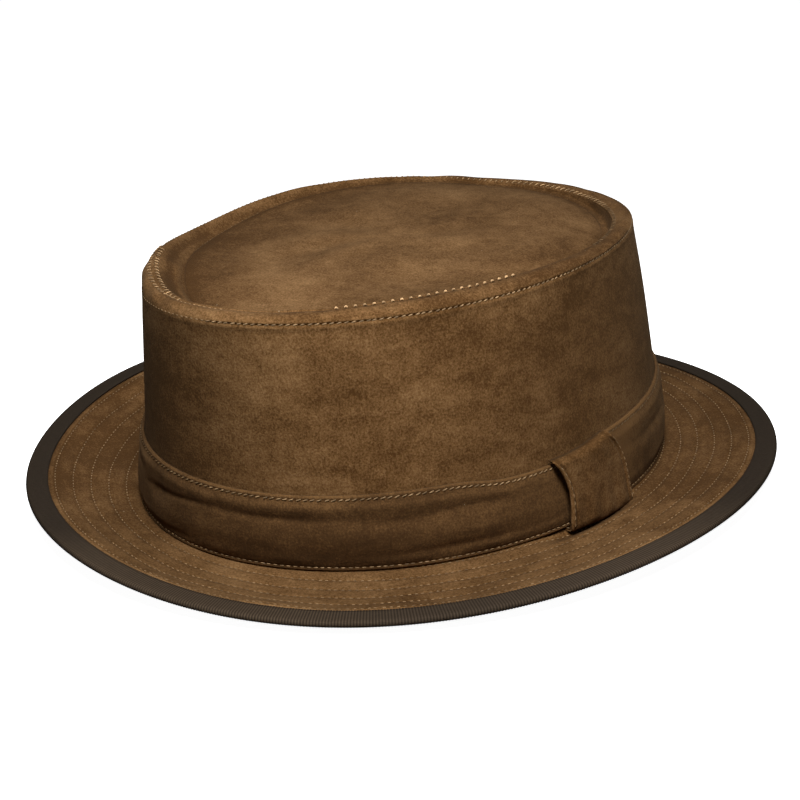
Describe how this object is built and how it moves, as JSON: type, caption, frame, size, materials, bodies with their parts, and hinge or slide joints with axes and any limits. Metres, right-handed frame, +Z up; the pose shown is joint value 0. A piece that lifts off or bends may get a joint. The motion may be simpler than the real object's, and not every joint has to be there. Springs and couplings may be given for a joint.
{
  "type": "porkpie hat",
  "caption": "Low oval suede hat with a flat sunken top inside a stitched rim, a plain band held by a keeper, and a soft turned-up brim bound with ribbon",
  "frame": {"origin": "under the middle of the brim, on the plane that the hat rests on", "axes": "-Y is the front of the hat, +X the wearer's left, +Z up; the hat is longest along Y"},
  "size_m": [0.2554, 0.2808, 0.0859],
  "materials": {
    "suede": "brushed nap, mottled brown",
    "band_suede": "brushed nap, darker brown",
    "ribbon": "ribbed grosgrain, dark brown"
  },
  "bodies": {
    "root": {"crown_side": "suede", "crown_tip": "suede", "brim": "suede", "brim_binding": "ribbon", "hat_band": "band_suede", "band_keeper": "band_suede"}
  },
  "joints": []
}
